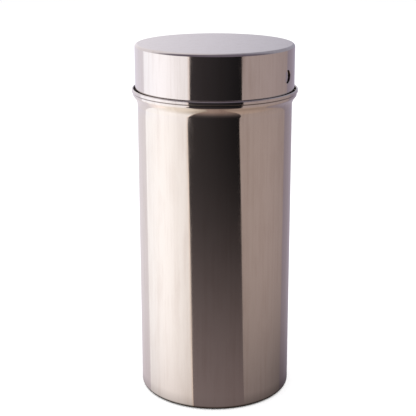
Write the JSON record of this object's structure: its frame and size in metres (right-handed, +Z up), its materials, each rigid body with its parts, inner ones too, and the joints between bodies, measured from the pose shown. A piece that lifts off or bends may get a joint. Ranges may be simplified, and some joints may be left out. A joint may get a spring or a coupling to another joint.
{
  "type": "disinfection canister",
  "caption": "Tall cylindrical stainless steel sterilising canister with a flared rim, a neck collar, a slip-on lid with a turn-to-close vent, and a lift-out dish carrier.",
  "frame": {"origin": "middle of the underside, on the surface that the canister stands on", "axes": "+Z up along the canister's axis; +X through the vent in the lid; the dish carrier is open towards -X"},
  "size_m": [0.1158, 0.1158, 0.251],
  "materials": {
    "polished_sheet": "polished stainless steel sheet with faint turning marks",
    "strap_steel": "plain rolled stainless steel strip and plate"
  },
  "bodies": {
    "canister": {"canister_body": "polished_sheet", "neck_collar": "polished_sheet", "carrier_hoop": "strap_steel", "carrier_back_strap": "strap_steel", "carrier_plate": "strap_steel"},
    "lid": {"lid": "polished_sheet"}
  },
  "joints": [
    {"name": "lid_lift", "type": "slide", "parent": "canister", "child": "lid", "axis": [0, 0, 1], "range_m": [0, 0.1]}
  ]
}
